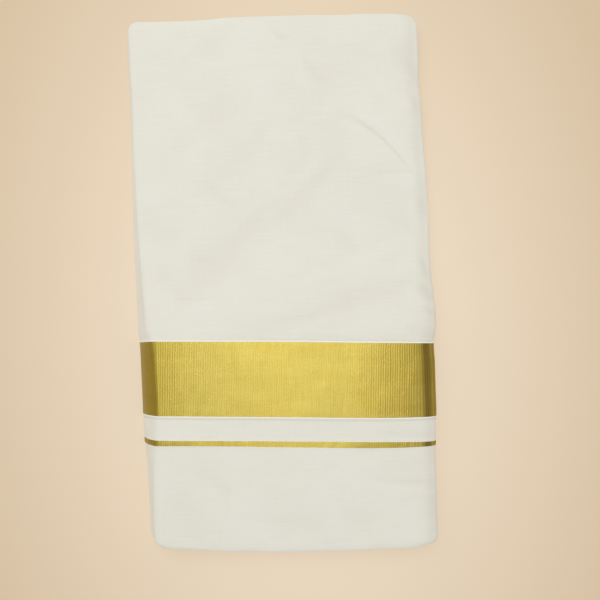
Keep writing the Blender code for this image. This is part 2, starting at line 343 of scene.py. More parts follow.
# -------------------- the strip's path in section
# A path is a list of controls, each (function of y giving x, share of the pile's height). The
# curve through them is a quadratic spline, which is straight along runs and round at turns.
def layer_thickness(y):
    """Thickness of one of the sixteen layers."""
    return pile_height(np.zeros_like(y), y, PILE) / LAYERS


LEFT_TURN = (
    # inside the side (in crease widths), spread of the nested layers, softness, share of the fall
    (1.0, 0.7, 2.0, 0.0),
    (1.0, 0.7, 0.0, 0.0),
    (1.0, 0.7, -1.3, 0.06),
    (0.45, 0.9, 0.0, 0.37),
    (0.19, 1.0, 0.0, 0.64),
    (0.0, 1.1, 0.0, 0.89),
    (0.0, 1.1, 0.0, 1.0),
)
RIGHT_TURN = (
    # inside the side (in widths of the shoulder), share of the rise
    (0.0, 0.0),
    (0.0, 0.42),
    (0.24, 0.76),
    (0.75, 0.935),
    (1.9, 1.0),
)
FLOOR_SPREAD = 1.1            # how far apart nested turns are, in layers, on the floor at the left
SIDE_SPREAD = 1.15            # and at the right


def left_turn(nest, middle):
    """The controls of a turn at the left, top to bottom. nest counts from the outermost, and
    middle is whether the path is the middle of its layer or the outside of it."""
    half = 0.5 if middle else 0.0
    depth = nest + half
    top = (LAYERS - depth) / LAYERS
    fall = top - depth / LAYERS

    def inside(crease, spread, soft):
        def x(y):
            base = left_edge(y) + crease * through(SIDE_BOW, 3, y)
            return base + depth * spread * layer_thickness(y) + soft * through(SIDE_BOW, 4, y)
        return x

    def last(y):
        return left_edge(y) + FLOOR_TURN + depth * FLOOR_SPREAD * layer_thickness(y)

    controls = [(inside(*place), top - share * fall) for *place, share in LEFT_TURN]
    return controls + [(last, top - fall)]


def right_turn(nest, low_layer, high_layer, middle, inset, shoulder, toe):
    """The controls of a turn at the right, from the lower layer up to the higher one."""
    half = 0.5 if middle else 0.0
    depth = nest + half
    low = (low_layer - 1 + depth) / LAYERS
    rise = (high_layer - depth) / LAYERS - low

    def inside(base):
        return lambda y: right_edge(y) - inset - base - depth * SIDE_SPREAD * layer_thickness(y)

    controls = [(inside(shoulder * place), low + share * rise) for place, share in RIGHT_TURN]
    return [(inside(toe), low)] + controls


def loose_end(share, inset):
    """Where a path starts or ends, inset from the right edge: two controls, inner one first."""
    return [(lambda y: right_edge(y) - inset - MM, share),
            (lambda y: right_edge(y) - inset + MM, share)]


def layer_middle(layer):
    return (layer - 0.5) / LAYERS


UPPER_FOLD = dict(inset=0.0, shoulder=SHOULDER, toe=TOE)
LOWER_FOLD = dict(inset=2.6 * MM, shoulder=LOW_TOE, toe=LOW_TOE)
INNER_FOLD = dict(inset=6.0 * MM, shoulder=4.0 * MM, toe=4.0 * MM)


def outer_path():
    """The outermost cloth, seen from outside: under the big fold, over it, across the front, down
    the left side, under the packet, up round the lower fold and in again."""
    path = loose_end(8 / LAYERS, TUCK)
    path += right_turn(0, 9, 16, False, **UPPER_FOLD)
    path += left_turn(0, False)
    path += right_turn(0, 1, 4, False, **LOWER_FOLD)
    return path + loose_end(4 / LAYERS, TUCK)[::-1]


def hidden_paths():
    """The rest of the strip, in its order, as three lengths that start and end out of sight."""
    def end(layer, inset=TUCK):
        return loose_end(layer_middle(layer), inset)

    def down(nest):
        """Round the left side, from the upper layer down to the lower one."""
        return left_turn(nest, True)

    def upper(nest):
        """Round the big fold, from the lower layer up to the upper one."""
        return right_turn(nest, 9, 16, True, **UPPER_FOLD)

    lower = right_turn(1, 1, 4, True, **LOWER_FOLD)
    first = end(7)[::-1] + down(6)[::-1] + upper(1) + down(1) + lower + down(2)[::-1]
    first += upper(2)[::-1] + down(5) + end(6)
    second = end(5)[::-1] + down(4)[::-1] + upper(3) + down(3) + end(4, TUCK + MEET)
    third = end(9, TUCK + MEET)[::-1] + down(7) + end(8)
    return first, second, third


RUN_SAMPLES = 12000


def spline_pieces(path, y):
    """The controls of a path at every y, as an array (control, ..., x or share)."""
    return np.array([[x(y), np.full_like(y, share)] for x, share in path]).transpose(
        0, *range(2, y.ndim + 2), 1)


def spline_at(path, place, y):
    """The path at spline places (one per row of y): x, and share of the pile's height."""
    controls = spline_pieces(path, y)
    i = np.clip(place.astype(int), 0, len(path) - 3)
    t = (place - i).reshape(-1, *[1] * (y.ndim - 1))
    i = i.reshape(1, -1, *[1] * (y.ndim - 1), 1)
    a, b, c = (np.take_along_axis(controls, i + k, 0)[0] for k in range(3))
    t = t[..., None]
    point = 0.5 * (1 - t) ** 2 * a + (0.5 + t - t * t) * b + 0.5 * t * t * c
    return point[..., 0], point[..., 1]


def reference_run(path):
    """Spline places along a path, finely, with the distance along the cloth, x and z there."""
    place = np.linspace(0.0, len(path) - 2 - 1e-6, RUN_SAMPLES)
    x, share = spline_at(path, place, np.full_like(place, REFERENCE_UP))
    z = share * PILE
    distance = np.concatenate([[0.0], np.cumsum(np.hypot(np.diff(x), np.diff(z)))])
    return place, distance, x, z


def places_by_turn(path, coarse, fine):
    """Spline places for a mesh: steps of coarse on straight runs, and of fine degrees in turns."""
    place, distance, x, z = reference_run(path)
    angle = np.unwrap(np.arctan2(np.gradient(z), np.gradient(x)))
    turning = np.abs(np.gradient(angle)) / math.radians(fine)
    weight = np.cumsum(turning + np.gradient(distance) / coarse)
    steps = int(weight[-1]) + 1
    return np.interp(np.linspace(0.0, weight[-1], steps), weight, place)


# -------------------- from paths to cloth
EDGE_ANGLES = [math.radians(angle) for angle in (30, 60, 90, 120, 150)]
END_GATHER = 0.86             # how much closer rows lie near an end
FILL = 0.96                   # a cloth fills this share of its layer
ZONE_LAYER = PILE / LAYERS * FILL             # the ground's own layer, below the border
BODY_LAYER = BODY_PILE / LAYERS * FILL        # and above the flap
UNDERLAP = 6.0 * MM           # the body goes on this far under the edge of the flap
ZARI_LIFT = 0.30 * MM         # the border stands proud of the ground, falling over ZARI_FALL
ZARI_FALL = 1.9 * MM
FLAP_DIP = 0.7 * MM           # the body dips towards the edge of the flap over DIP_REACH
DIP_REACH = 8.0 * MM
DIP_FROM, DIP_OVER = -0.2, 0.3                # and more towards the right: from here, over this
RIM = 1.0 * MM                # the ground is painted paler this wide along the foot edge of the border
LIP = 1.0 * MM                # the selvedge falls to the ground over this
RIB_PITCH = 2.0 * MM
RIB_HEIGHT = 0.08 * MM
RIBS_MIDDLE = -8.0 * MM       # the ribs are pressed flatter about here,
RIBS_PRESSED = (62.0 * MM, 98.0 * MM)   # as far as this, and stand fully beyond this
RIBS_LEFT = 0.5               # this share of their height is left where they are pressed flatter
FOLD_SHADE = (2.2 * MM, 15.5 * MM)   # painted shade darkens the gold between these, inside the right side,
FOLD_SHADE_SOFT = (3.5 * MM, 6.0 * MM)   # and turns dark over these lengths
SIDE_SHADE = (15.0 * MM, 0.40)       # painted shade darkens the white towards that side: from where, how much
TOP_FROM, TOP_OVER = 0.80, 0.12      # both only high on the pile: from this share of it, over this
SHEAR_FADE = 9.0 * MM         # the ribs stand square to the selvedge, which fades near the folds


def edge_wander(across, seed, size):
    """A slow uneven wander of a cloth's edge along the strip."""
    a = across / MM
    wave = np.sin(a / 37.0 + seed) + 0.6 * np.sin(a / 17.3 + 2.3 * seed)
    return size * (wave + 0.35 * np.sin(a / 7.9 + 5.1 * seed)) / 1.6


def normals_of(points):
    """Outward normals of a grid of points (along the path, up the packet)."""
    along = np.gradient(points, axis=0)
    up = np.gradient(points, axis=1)
    normal = np.cross(up, along)
    return normal / np.linalg.norm(normal, axis=2, keepdims=True)


def rounded_end(face, back, outward):
    """The half-round edge of a folded cloth between its two faces, as extra rows."""
    centre = (face + back) / 2
    arm = (face - back) / 2
    reach = np.linalg.norm(arm, axis=1, keepdims=True) * np.array([[0.0, outward, 0.0]])
    return np.stack([centre + arm * math.cos(t) + reach * math.sin(t) for t in EDGE_ANGLES], axis=1)


def strip_grid(path, places, low, high, shares, height, line_x):
    """Points of a strip: along the path at places, and up the packet between low and high."""
    y = np.zeros((len(places), len(shares)))
    x, share = spline_at(path, places, y)
    for _ in range(4):        # x and y depend on each other, and settle in a few rounds
        at = line_x(x)
        bottom = low(x, at)
        y = bottom + (high(x, at) - bottom) * shares
        x, share = spline_at(path, places, y)
    return np.stack([x, y, share * height(x, y)], axis=2), share


def ring_strip(face, back, across, raised, keep, round_low, round_high, tone):
    """Join the two faces of a cloth into rings, with square or half-round edges. Each point also
    gets its place in the weave, how far its ribs are raised, and a tone for painted light and shade: on
    the gold how steep it is, which paints it browner as shade, on the white a paler line and painted
    highlight on ridges, and below 0 how much painted shade it gets."""
    rows, weave = [face], [np.stack([across, face[..., 1], raised, tone], axis=2)]

    def add(part):
        plain = np.ones(part.shape[:2])
        rows.append(part)
        weave.append(np.stack([plain * across[:, :1], part[..., 1], plain * 0.0, plain * 0.0], axis=2))

    if round_high:
        add(rounded_end(face[:, -1], back[:, -1], 1.0))
    add(back[:, keep][:, ::-1])
    if round_low:
        add(rounded_end(face[:, 0], back[:, 0], -1.0)[:, ::-1])
    return np.concatenate(rows, axis=1), np.concatenate(weave, axis=1)


def closed_cloth(name, strips, material):
    """One mesh of closed strips."""
    verts, faces, weave = [], [], []
    for rings, places in strips:
        count, size = rings.shape[:2]
        index = len(verts) + np.arange(count * size).reshape(count, size)
        turn = np.roll(index, -1, axis=1)
        verts += rings.reshape(-1, 3).tolist()
        weave += places.reshape(-1, 4).tolist()
        faces += np.stack([index[:-1], turn[:-1], turn[1:], index[1:]], axis=2).reshape(-1, 4).tolist()
        faces.append(index[0, ::-1].tolist())
        faces.append(index[-1].tolist())
    mesh = bpy.data.meshes.new(name)
    mesh.from_pydata(verts, [], faces)
    mesh.update()
    loops = np.zeros(len(mesh.loops), dtype=np.int32)
    mesh.loops.foreach_get("vertex_index", loops)
    weave = np.array(weave, dtype=np.float32)
    mesh.uv_layers.new(name="weave").data.foreach_set("uv", weave[loops, :2].ravel())
    for column, label in ((0, "across"), (2, "outer_face"), (3, "tone")):
        mesh.attributes.new(label, "FLOAT", "POINT").data.foreach_set("value", weave[:, column].copy())
    mesh.shade_smooth()
    mesh.set_sharp_from_angle(angle=math.radians(48))
    mesh.materials.append(material)
    obj = bpy.data.objects.new(name, mesh)
    bpy.context.scene.collection.objects.link(obj)
    return obj


# -------------------- the outermost cloth
OUTER = outer_path()
OUTER_PLACE, OUTER_RUN, OUTER_X, OUTER_Z = reference_run(OUTER)
MIDDLE_RUN = OUTER_RUN[np.argmin(np.abs(OUTER_X) + (OUTER_Z < 0.9 * PILE))]
FOLD_NOSE = 3.0               # spline places where the path passes the nose of the big fold,
FRONT_START = 6.0             # comes out on the front,
CREASE_PLACE = 9.0            # and turns down over the left crease
SEEN = (LEFT - 30.0 * MM, RIGHT + 22.0 * MM)  # the run between these shows, round both sides


def outer_places(seen_step, hidden_step):
    """Spline places along the outer cloth, at even steps across, smaller where it shows more."""
    across = MIDDLE_RUN - OUTER_RUN
    stops = [np.arange(across[-1], SEEN[0], hidden_step), np.arange(SEEN[0], SEEN[1], seen_step)]
    stops = np.concatenate(stops + [np.arange(SEEN[1], across[0], hidden_step), across[:1]])
    return np.interp(MIDDLE_RUN - stops[::-1], OUTER_RUN, OUTER_PLACE)


def outer_zone(name, places, shares, keep, thickness, material, has_ribs):
    """One woven zone of the outermost cloth, all round the packet. shares place its rows between
    its lower and upper line, and keep says which of them its inner face has."""
    zone = ZONES.index(name)
    first, last = zone == 0, zone == len(ZONES) - 1
    across = MIDDLE_RUN - np.interp(places, OUTER_PLACE, OUTER_RUN)
    down, under = (places > CREASE_PLACE)[:, None], (places < FOLD_NOSE)[:, None]
    low_wander = edge_wander(across, 1.7, 0.20 * MM)[:, None]
    high_wander = edge_wander(across, 4.2, 0.25 * MM)[:, None]

    def line_x(x):
        return np.where(under, RIGHT, np.where(down, SPINE_X, x))

    def low(x, at):
        if first:
            return foot_line(x) + low_wander + thickness / 2
        return woven_line(zone - 1, at) - (UNDERLAP if last else 0.0)

    def high(x, at):
        return head_line(x) + high_wander - thickness / 2 if last else woven_line(zone, at)

    def height(x, y):
        return pile_height(x, y, PILE - FLAP) if last else pile_height(x, y, PILE, thins=False)

    face, share = strip_grid(OUTER, places, low, high, shares, height, line_x)
    across = np.repeat(across[:, None], len(shares), axis=1)
    if has_ribs:
        x, y = face[..., 0], face[..., 1]
        level = ease((x - SPINE_X) / SHEAR_FADE) * ease((FOLD_X + SHEAR_FADE - x) / SHEAR_FADE)
        level = np.where(down | under, 0.0, level)
        up = y - woven_line(4, x)
        x -= up * math.tan(SHEAR) * level
        face[..., 1] = woven_line(4, x) + up
    x, y = face[..., 0], face[..., 1]
    tone = np.zeros_like(y)
    if has_ribs:                # painted shade by how steep the gold is, one tone under the packet
        tone = np.where(share > 0.2, 1.0 - np.clip(normals_of(face)[..., 2], 0.0, 1.0), 0.3)
    if name == "gap":         # painted paler line, and painted shade below it
        below = (woven_line(zone, line_x(x)) - y) / RIM
        tone = ease(1.5 - below) - 0.42 * ease(below - 0.6) * ease(3.6 - below)
    # creases start part of the way up the sides, and nothing is raised towards the floor
    before_front = (places < FRONT_START)[:, None]
    rising = np.where(before_front, ease((share - 0.5) / 0.3), ease(share / 0.35))
    raised = ease(share / 0.08)
    inside = right_edge(y) - x
    on_top = ease((share - TOP_FROM) / TOP_OVER)
    if has_ribs:
        pressed, free = RIBS_PRESSED
        to_side = ease((np.abs(across - RIBS_MIDDLE) - pressed) / (free - pressed))
        raised = raised * (RIBS_LEFT + (1.0 - RIBS_LEFT) * to_side)
        # painted shade: a dark strip on the gold where it starts over the big fold
        over = ease((FOLD_SHADE[1] - inside) / FOLD_SHADE_SOFT[1])
        over *= ease((inside - FOLD_SHADE[0]) / FOLD_SHADE_SOFT[0])
        over *= on_top
        tone = tone * (1.0 - over) - over
    else:
        # painted shade on the white: darker in the creases and towards the right side, paler on ridges
        side = np.clip(1.0 - inside / SIDE_SHADE[0], 0.0, 1.0) * on_top
        tone -= creases(across, y)[1] * rising + SIDE_SHADE[1] * side
    lift = relief(across, y) * rising
    proud = ZARI_LIFT * raised
    if has_ribs:
        lift += proud
    if name in ("foot", "gap"):
        lift += proud * (1.0 - ease((woven_line(zone, line_x(x)) - y) / ZARI_FALL))
    if name == "gap":
        lift += proud * (1.0 - ease((y - woven_line(zone - 1, line_x(x))) / ZARI_FALL))
    if name == "selvedge":
        lift += proud * ease((woven_line(zone, line_x(x)) - y) / LIP)
    if last:
        near = 1.0 - ease((y - woven_line(4, x)) / DIP_REACH)
        lift -= FLAP_DIP * near * ease((x - DIP_FROM) / DIP_OVER) * rising
    face = face + normals_of(face) * lift[..., None]
    back = face - normals_of(face) * thickness
    rings = ring_strip(face, back, across, raised, keep, first, last, tone)
    return closed_cloth(f"{name}_cloth", [rings], material)


def closer_at_end(count):
    """Shares from 0 to 1, closer together near 1."""
    t = np.linspace(1.0, 0.0, count)
    return 1.0 - (t - END_GATHER * np.sin(math.pi * t) / math.pi * (1.0 - t))


# -------------------- materials
def add_node(tree, kind, settings=(), values=(), links=()):
    """A shader node with its settings, input values and links."""
    made = tree.nodes.new(kind)
    for key, value in dict(settings).items():
        setattr(made, key, value)
    for key, value in dict(values).items():
        made.inputs[key].default_value = value
    for key, source in dict(links).items():
        tree.links.new(source, made.inputs[key])
    return made


def sums(tree, operation, first, second):
    """A Math node of two inputs, each a socket or a number."""
    made = tree.nodes.new("ShaderNodeMath")
    made.operation = operation
    for socket, value in zip(made.inputs, (first, second)):
        if isinstance(value, (int, float)):
            socket.default_value = value
        else:
            tree.links.new(value, socket)
    return made.outputs[0]


def weave_noise(tree, uv, across, up, detail=3.0):
    """Noise in the cloth's own directions: across and up are the lengths of its features."""
    size = add_node(tree, "ShaderNodeMapping", values={"Scale": (1 / across, 1 / up, 1.0)},
                    links={"Vector": uv})
    noise = add_node(tree, "ShaderNodeTexNoise", {"noise_dimensions": "2D"},
                     {"Scale": 1.0, "Detail": detail, "Roughness": 0.6},
                     {"Vector": size.outputs["Vector"]})
    return noise.outputs[0]


def wave(tree, place, pitch):
    """A sine of that pitch along a place in metres."""
    return sums(tree, "SINE", sums(tree, "MULTIPLY", place, 2 * math.pi / pitch), 0.0)


def mixed(tree, factor, first, second, blend="MIX"):
    """A colour Mix node; each colour is a socket or a plain colour."""
    made = tree.nodes.new("ShaderNodeMix")
    made.data_type = "RGBA"
    made.blend_type = blend
    colour_inputs = [socket for socket in made.inputs if socket.type == "RGBA"]
    if isinstance(factor, (int, float)):
        made.inputs[0].default_value = factor
    else:
        tree.links.new(factor, made.inputs[0])
    for socket, value in zip(colour_inputs, (first, second)):
        if isinstance(value, tuple):
            socket.default_value = (*value, 1.0)
        else:
            tree.links.new(value, socket)
    return [socket for socket in made.outputs if socket.type == "RGBA"][0]


def ranged(tree, value, low, high, to_low=0.0, to_high=1.0):
    """A value mapped, and held, from low and high to to_low and to_high."""
    made = add_node(tree, "ShaderNodeMapRange",
                    values={"From Min": low, "From Max": high, "To Min": to_low, "To Max": to_high},
                    links={"Value": value})
    return made.outputs["Result"]


def start_material(name):
    """A material, its tree and shader, and the weave's place: as a UV, across, and up the packet."""
    material = bpy.data.materials.new(name)
    material.use_nodes = True
    tree = material.node_tree
    uv = add_node(tree, "ShaderNodeUVMap", {"uv_map": "weave"}).outputs["UV"]
    place = add_node(tree, "ShaderNodeSeparateXYZ", links={"Vector": uv})
    return material, tree, tree.nodes["Principled BSDF"], uv, place.outputs["X"], place.outputs["Y"]


def cotton(name, pale, deep, rim, shade, thread, bump, weft_cords=0.0):
    """Plain-woven cotton: threads both ways, slubs along and across, and slow cloudy patches."""
    material, tree, shader, uv, across, up = start_material(name)
    slubs = weave_noise(tree, uv, 26 * MM, 1.3 * MM)
    ends = weave_noise(tree, uv, 1.1 * MM, 34 * MM)
    cloud = weave_noise(tree, uv, 60 * MM, 70 * MM, 2.0)
    fine = weave_noise(tree, uv, 3.0 * MM, 0.45 * MM)
    tone = sums(tree, "MULTIPLY", slubs, 0.36)
    for part, share in ((ends, 0.20), (cloud, 0.30), (fine, 0.14)):
        tone = sums(tree, "ADD", tone, sums(tree, "MULTIPLY", part, share))
    cloth = sums(tree, "MULTIPLY", wave(tree, across, thread), wave(tree, up, thread))
    tone = sums(tree, "ADD", tone, sums(tree, "MULTIPLY", cloth, 0.03))
    factor = ranged(tree, tone, 0.34, 0.66)
    tone = add_node(tree, "ShaderNodeAttribute", {"attribute_name": "tone"}).outputs["Fac"]
    # the tone mixes in rim for the paler line and painted highlight on ridges, and shade for painted
    # shade
    ground = mixed(tree, ranged(tree, tone, 0.0, 1.0), mixed(tree, factor, deep, pale), rim)
    ground = mixed(tree, ranged(tree, tone, 0.0, -1.0), ground, shade)
    tree.links.new(ground, shader.inputs["Base Color"])
    height = sums(tree, "ADD", sums(tree, "MULTIPLY", slubs, 1.5), sums(tree, "MULTIPLY", ends, 0.9))
    height = sums(tree, "ADD", height, sums(tree, "MULTIPLY", cloth, 0.22))
    if weft_cords:
        height = sums(tree, "ADD", height, sums(tree, "MULTIPLY", wave(tree, up, weft_cords), 0.5))
    relief_node = add_node(tree, "ShaderNodeBump", values={"Strength": bump, "Distance": 0.10 * MM},
                           links={"Height": height})
    tree.links.new(relief_node.outputs["Normal"], shader.inputs["Normal"])
    tree.links.new(ranged(tree, slubs, 0.3, 0.7, 0.86, 0.78), shader.inputs["Roughness"])
    shader.inputs["Sheen Weight"].default_value = 0.12
    shader.inputs["Sheen Roughness"].default_value = 0.5
    shader.inputs["Specular IOR Level"].default_value = 0.25
    return material


def zari(name, bright, deep, slope_shade, dark):
    """Metal-wrapped thread: ribs that show most near the folds, and fine flecks where threads turn.
    Painted shade darkens its rib grooves and its sides, browns it where the cloth is steep along the
    folds, and darkens a strip where it starts over the big one."""
    material, tree, shader, uv, across, up = start_material(name)
    rib = sums(tree, "ABSOLUTE", wave(tree, across, 2 * RIB_PITCH), 0.0)
    from_middle = sums(tree, "ABSOLUTE", sums(tree, "SUBTRACT", across, RIBS_MIDDLE), 0.0)
    to_side = ranged(tree, from_middle, *RIBS_PRESSED)
    # painted shade in the ribs' grooves, deeper towards the sides
    groove = sums(tree, "MULTIPLY", ranged(tree, rib, 0.0, 0.55, 1.0, 0.0),
                  ranged(tree, to_side, 0.0, 1.0, 0.24, 0.52))
    flecks = weave_noise(tree, uv, 0.75 * MM, 0.95 * MM, 2.0)
    streaks = weave_noise(tree, uv, 1.6 * MM, 24 * MM)
    patches = weave_noise(tree, uv, 46 * MM, 9 * MM, 2.0)
    # painted shade: the gold is darker towards the sides, and in its grooves
    tone = sums(tree, "SUBTRACT", ranged(tree, to_side, 0.0, 1.0, 0.45, 0.31), groove)
    for part, low, high, share in ((flecks, 0.36, 0.66, 0.32), (streaks, 0.3, 0.7, 0.20),
                                   (patches, 0.3, 0.7, 0.14)):
        tone = sums(tree, "ADD", tone, ranged(tree, part, low, high, 0.0, share))
    thread = mixed(tree, tone, deep, bright)
    fold = add_node(tree, "ShaderNodeAttribute", {"attribute_name": "tone"}).outputs["Fac"]
    # painted shade: browner where the gold is steep, and dark in the strip over the big fold
    slope_shade_share = sums(tree, "MULTIPLY", ranged(tree, fold, 0.01, 0.22),
                      ranged(tree, fold, 0.55, 0.95, 1.0, 0.5))
    colour = mixed(tree, slope_shade_share, thread, mixed(tree, 1.0, thread, slope_shade, "MULTIPLY"))
    dark_share = ranged(tree, fold, 0.0, -1.0)
    colour = mixed(tree, dark_share, colour, mixed(tree, 1.0, thread, dark, "MULTIPLY"))
    tree.links.new(colour, shader.inputs["Base Color"])
    height = sums(tree, "MULTIPLY", wave(tree, up, 0.62 * MM), 0.35)
    height = sums(tree, "ADD", height, sums(tree, "MULTIPLY", flecks, 1.6))
    relief_node = add_node(tree, "ShaderNodeBump", values={"Strength": 0.35, "Distance": 0.10 * MM},
                           links={"Height": height})
    tree.links.new(relief_node.outputs["Normal"], shader.inputs["Normal"])
    tree.links.new(ranged(tree, flecks, 0.3, 0.7, 0.44, 0.34), shader.inputs["Roughness"])
    shader.inputs["Metallic"].default_value = 0.88
    return material


def rib_tree():
    """Geometry Nodes: raised ribs at an even pitch across the outer face of a cloth."""
    tree = bpy.data.node_groups.new("zari_ribs", "GeometryNodeTree")
    sockets = tree.interface
    sockets.new_socket("Geometry", in_out="INPUT", socket_type="NodeSocketGeometry")
    for label in ("Rib pitch", "Rib height", "Height spread"):
        sockets.new_socket(label, in_out="INPUT", socket_type="NodeSocketFloat")
    sockets.new_socket("Seed", in_out="INPUT", socket_type="NodeSocketInt")
    sockets.new_socket("Thread", in_out="INPUT", socket_type="NodeSocketMaterial")
    sockets.new_socket("Geometry", in_out="OUTPUT", socket_type="NodeSocketGeometry")
    given = tree.nodes.new("NodeGroupInput")
    result = tree.nodes.new("NodeGroupOutput")

    def attribute(label):
        return add_node(tree, "GeometryNodeInputNamedAttribute", {"data_type": "FLOAT"},
                        {"Name": label}).outputs["Attribute"]

    ribs = sums(tree, "DIVIDE", attribute("across"), given.outputs["Rib pitch"])
    number = sums(tree, "FLOOR", ribs, 0.0)
    swing = sums(tree, "SINE", sums(tree, "MULTIPLY", ribs, math.pi), 0.0)
    wave_height = sums(tree, "ABSOLUTE", swing, 0.0)
    spread = add_node(tree, "FunctionNodeRandomValue", {"data_type": "FLOAT"})
    plain = [socket for socket in spread.inputs if socket.type == "VALUE"]
    tree.links.new(sums(tree, "SUBTRACT", 1.0, given.outputs["Height spread"]), plain[0])
    tree.links.new(sums(tree, "ADD", 1.0, given.outputs["Height spread"]), plain[1])
    tree.links.new(number, spread.inputs["ID"])
    tree.links.new(given.outputs["Seed"], spread.inputs["Seed"])
    chance = [socket for socket in spread.outputs if socket.type == "VALUE"][0]
    rise = sums(tree, "MULTIPLY", wave_height, given.outputs["Rib height"])
    rise = sums(tree, "MULTIPLY", sums(tree, "MULTIPLY", rise, chance), attribute("outer_face"))
    away = add_node(tree, "ShaderNodeVectorMath", {"operation": "SCALE"},
                    links={0: tree.nodes.new("GeometryNodeInputNormal").outputs[0], "Scale": rise})
    moved = add_node(tree, "GeometryNodeSetPosition",
                     links={"Geometry": given.outputs["Geometry"], "Offset": away.outputs[0]})
    real = add_node(tree, "GeometryNodeRealizeInstances", links={"Geometry": moved.outputs[0]})
    dyed = add_node(tree, "GeometryNodeSetMaterial",
                    links={"Geometry": real.outputs[0], "Material": given.outputs["Thread"]})
    tree.links.new(dyed.outputs[0], result.inputs[0])
    return tree


def ribbed(piece, tree, material):
    """Give a gold piece its ribs, and make the result its plain mesh."""
    modifier = piece.modifiers.new("ribs", "NODES")
    modifier.node_group = tree
    sizes = {"Rib pitch": RIB_PITCH, "Rib height": RIB_HEIGHT, "Height spread": 0.28, "Seed": 11,
             "Thread": material}
    for socket in tree.interface.items_tree:
        if socket.in_out == "INPUT" and socket.name in sizes:
            modifier[socket.identifier] = sizes[socket.name]
    graph = bpy.context.evaluated_depsgraph_get()
    mesh = bpy.data.meshes.new_from_object(
        piece.evaluated_get(graph), preserve_all_data_layers=True, depsgraph=graph)
    piece.modifiers.remove(modifier)
    mesh.name = piece.name
    piece.data = mesh


# colours for the tone: a paler line and painted highlight on ridges, and painted shade
RIM_WHITE = (0.93, 0.92, 0.86)
SHADE_WHITE = (0.62, 0.60, 0.50)
WHITE = cotton("ground_cotton", (0.835, 0.827, 0.752), (0.790, 0.779, 0.694), RIM_WHITE, SHADE_WHITE,
               0.38 * MM, 0.22)
# the selvedge strip is painted paler than the ground: a painted highlight along the flap's edge
EDGE_WHITE = cotton("selvedge_cotton", (0.92, 0.91, 0.85), (0.87, 0.86, 0.79), RIM_WHITE, SHADE_WHITE,
                    0.30 * MM, 0.22, 0.34 * MM)
# the same cotton painted darker for the layers inside the folds: painted shade
FOLDED_WHITE = cotton("folded_cotton", (0.785, 0.772, 0.695), (0.725, 0.712, 0.630), RIM_WHITE,
                      SHADE_WHITE, 0.38 * MM, 0.25)
# the last two colours are painted shade: brown where the gold is steep, dark over the big fold
GOLD = zari("gold_zari", (0.565, 0.472, 0.116), (0.405, 0.255, 0.014), (0.74, 0.72, 0.29),
            (0.52, 0.46, 0.42))
RIBS = rib_tree()

ground_places = outer_places(1.6 * MM, 5.0 * MM)
rib_places = outer_places(RIB_PITCH / 8, RIB_PITCH / 4)


def keep_piece(name, piece, slot, nodes=()):
    """Let a piece ride on the packet, and hide the solids it stands for."""
    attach(piece, "root")
    if nodes:
        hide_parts(*nodes)


zones = (
    # name, places, rows, rows kept inside, thickness, material, slot, ribs
    ("foot", ground_places, 1.0 - closer_at_end(46)[::-1], [0, 6, 14, 26, 38, 45], ZONE_LAYER, WHITE,
     "ground_cotton", False),
    ("zari_line", rib_places, np.linspace(0, 1, 5), [0, 4], FLAP, GOLD, "gold_zari", True),
    ("gap", ground_places, closer_at_end(26), [0, 6, 13, 25], FLAP, WHITE, "ground_cotton", False),
    ("zari_band", rib_places, np.linspace(0, 1, 20), [0, 6, 13, 19], FLAP, GOLD, "gold_zari", True),
    ("selvedge", ground_places, np.linspace(0, 1, 5), [0, 4], FLAP, EDGE_WHITE,
     "selvedge_cotton", False),
    ("body", ground_places, closer_at_end(176), list(range(0, 175, 5)) + [175], BODY_LAYER, WHITE,
     "ground_cotton", False),
)
for name, places, rows, keep, thickness, material, slot, has_ribs in zones:
    piece = outer_zone(name, places, rows, keep, thickness, material, has_ribs)
    if has_ribs:
        ribbed(piece, RIBS, material)
    keep_piece(name, piece, slot, [f"{name}_{stretch}" for stretch in STRETCHES])

# -------------------- the layers inside
EVERY_ROW = slice(None)
HIDDEN_ROWS = np.array([0, .006, .02, .05, .1, .18, .27, .35, .4, .45, .5, .56, .62, .7, .8, .88, .94,
                        .975, .993, 1])
STRIPE_ROWS = np.linspace(0.0, 1.0, 5)
STRIPE_PROUD = 0.14 * MM
SLACK = 4.2 * MM              # room under the outermost cloth for its creases,
SLACK_FROM = 3.0 * MM         # which starts this far from the end folds
FOLLOW_FROM = 8.0 * MM        # the layers follow the outer cloth's creases nearer than this,
END_FADE = 14.0 * MM          # and both change over this length
HALF_FILL = 0.47              # half of a layer inside fills this share of its height
TURN_STEP = 13.0              # degrees for each step of a turn


